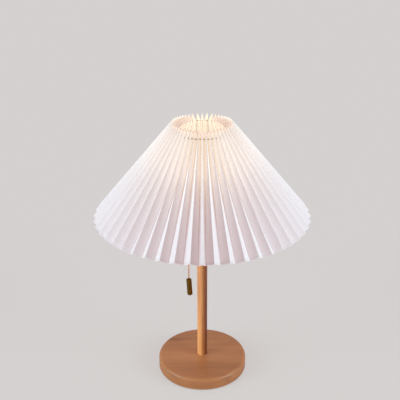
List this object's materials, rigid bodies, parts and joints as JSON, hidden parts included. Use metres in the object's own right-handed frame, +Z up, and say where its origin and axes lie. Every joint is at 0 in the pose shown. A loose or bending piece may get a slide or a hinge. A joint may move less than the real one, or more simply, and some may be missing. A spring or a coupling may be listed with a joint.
{
  "type": "pleated paper table lamp",
  "caption": "Table lamp with a conical pleated paper shade on a wire carrier, a pull-chain lampholder, a round wooden stem and a weighted wooden base.",
  "frame": {"origin": "centre of the base pad's underside, on the surface the lamp stands on", "axes": "+Z up along the stem, -Y the pictured side, -X the side of the chain"},
  "size_m": [0.3892, 0.3882, 0.5],
  "materials": {
    "disc_wood": "turned disc, satin lacquer",
    "stem_wood": "turned stem, clear satin lacquer, lengthwise grain",
    "pad": "short felt",
    "weight_iron": "rough casting",
    "screw_steel": "zinc plated",
    "bush_plastic": "moulded",
    "pipe_steel": "threaded tube, plated",
    "nut_steel": "plated",
    "holder_brass": "aged, satin",
    "liner_board": "pressed fibre sleeve",
    "switch_moulding": "moulded phenolic",
    "terminal_brass": "bright",
    "thread_aluminium": "rolled thread",
    "contact_brass": "bright strip",
    "switch_steel": "plain",
    "rotor_moulding": "moulded",
    "spring_steel": "drawn wire",
    "chain_brass": "polished ball chain",
    "pull_brass": "aged square bar",
    "carrier_paint": "white enamel wire",
    "shade_paper": "matt pleated paper",
    "string_cotton": "twisted cotton",
    "bulb_metal": "rolled cap",
    "bulb_foot_metal": "solder contact",
    "bulb_insulator_glass": "dark vitrite",
    "bulb_opal_glass": "opal, lit from inside",
    "bulb_clear_glass": "clear",
    "filament": "lit phosphor rods"
  },
  "bodies": {
    "stand": {"base_disc": "disc_wood", "base_weight": "weight_iron", "weight_screws": "screw_steel", "base_pad": "pad", "cord_inlet_bush": "bush_plastic", "stem": "stem_wood", "lamp_pipe": "pipe_steel", "lower_pipe_nut": "nut_steel", "lower_washer": "nut_steel", "stem_check_ring": "holder_brass", "holder_cup": "holder_brass", "upper_pipe_nut": "nut_steel", "holder_shell": "holder_brass", "holder_liner": "liner_board", "switch_body": "switch_moulding", "terminal_screws": "terminal_brass", "screw_shell": "thread_aluminium", "centre_contact": "contact_brass", "shade_ring": "holder_brass", "chain_guide": "holder_brass", "switch_axle": "switch_steel", "lever_spring": "spring_steel", "carrier_fitter": "carrier_paint", "carrier_arms": "carrier_paint", "carrier_ring": "carrier_paint"},
    "shade": {"shade_sheet": "shade_paper", "neck_string": "string_cotton"},
    "bulb_foot": {"bulb_contact": "bulb_foot_metal"},
    "bulb": {"bulb_insulator": "bulb_insulator_glass", "bulb_cap": "bulb_metal", "bulb_glass": "bulb_opal_glass", "bulb_stem": "bulb_clear_glass", "bulb_filaments": "filament"},
    "chain_top": {"chain_top": "chain_brass"},
    "chain_strand": {"chain_strand": "chain_brass"},
    "pull": {"chain_pull_bar": "pull_brass"},
    "inner_chain": {"inner_chain": "chain_brass"},
    "lever": {"switch_lever": "switch_steel"},
    "rotor": {"switch_rotor": "rotor_moulding"}
  },
  "joints": [
    {"name": "shade_lift", "type": "slide", "parent": "stand", "child": "shade", "axis": [0, 0, 1], "range_m": [0, 0.15]},
    {"name": "bulb_rise", "type": "slide", "parent": "stand", "child": "bulb_foot", "axis": [0, 0, 1], "range_m": [0, 0.01991]},
    {"name": "bulb_turn", "type": "hinge", "parent": "bulb_foot", "child": "bulb", "pos_m": [0, 0, 0.3365], "axis": [0, 0, 1], "range_deg": [0, 1981]},
    {"name": "chain_pull", "type": "slide", "parent": "stand", "child": "chain_top", "axis": [0, 0, -1], "range_m": [0, 0.008], "stiffness_N_per_m": 300, "springref_m": -0.008},
    {"name": "chain_swing", "type": "hinge", "parent": "chain_top", "child": "chain_strand", "pos_m": [-0.0253, 0, 0.3065], "axis": [1, 0, 0], "range_deg": [-35, 35]},
    {"name": "pull_swing", "type": "hinge", "parent": "chain_strand", "child": "pull", "pos_m": [-0.0253, 0, 0.19229], "axis": [0, 1, 0], "range_deg": [-10, 60]},
    {"name": "inner_chain_slide", "type": "slide", "parent": "stand", "child": "inner_chain", "axis": [-1, 0, 0], "range_m": [0, 0.0081]},
    {"name": "lever_turn", "type": "hinge", "parent": "stand", "child": "lever", "pos_m": [0, 0, 0.3255], "axis": [0, 1, 0], "range_deg": [0, 42.1]},
    {"name": "rotor_turn", "type": "hinge", "parent": "stand", "child": "rotor", "pos_m": [0, 0, 0.3255], "axis": [0, 1, 0], "range_deg": [0, 42.1]}
  ],
  "couplings": [
    {"joint": "bulb_turn", "follows": "bulb_rise", "rad_per_m": 1735.7},
    {"joint": "inner_chain_slide", "follows": "chain_pull", "ratio": 1},
    {"joint": "lever_turn", "follows": "chain_pull", "rad_per_m": 91.63},
    {"joint": "rotor_turn", "follows": "chain_pull", "rad_per_m": 91.63}
  ]
}
